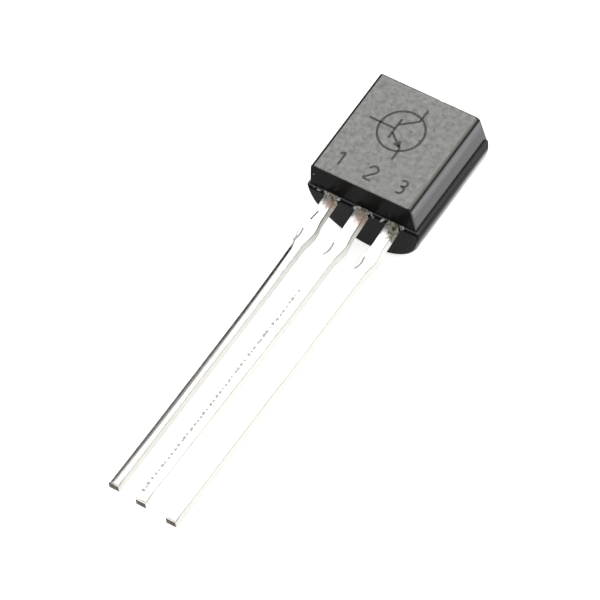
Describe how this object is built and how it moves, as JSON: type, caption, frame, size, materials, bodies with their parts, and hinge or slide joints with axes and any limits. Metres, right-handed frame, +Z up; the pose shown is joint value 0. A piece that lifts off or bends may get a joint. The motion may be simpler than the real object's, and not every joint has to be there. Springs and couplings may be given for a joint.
{
  "type": "to-92 transistor",
  "caption": "Small through-hole transistor lying flat face up: a black epoxy body with a flat front and a half-round back, moulded round long tinned copper leads in a row.",
  "frame": {"origin": "middle of the bounding box at its lowest level, on the surface that the transistor lies on", "axes": "+X across the leads, from the collector lead to the emitter lead; +Y along the leads, from their tips to the top of the body; +Z up, out of the flat face apart from the resting tilt of 8.0 degrees about X"},
  "size_m": [0.0046, 0.0186, 0.0041],
  "materials": {
    "black_epoxy": "satin",
    "tinned_copper": "satin",
    "silicon": "polished",
    "solder": "satin",
    "gold_wire": "polished"
  },
  "bodies": {
    "root": {"moulded_body": "black_epoxy", "collector_lead": "tinned_copper", "base_lead": "tinned_copper", "emitter_lead": "tinned_copper", "silicon_die": "silicon", "die_attach": "solder", "base_bond_wire": "gold_wire", "emitter_bond_wire": "gold_wire"}
  },
  "joints": []
}
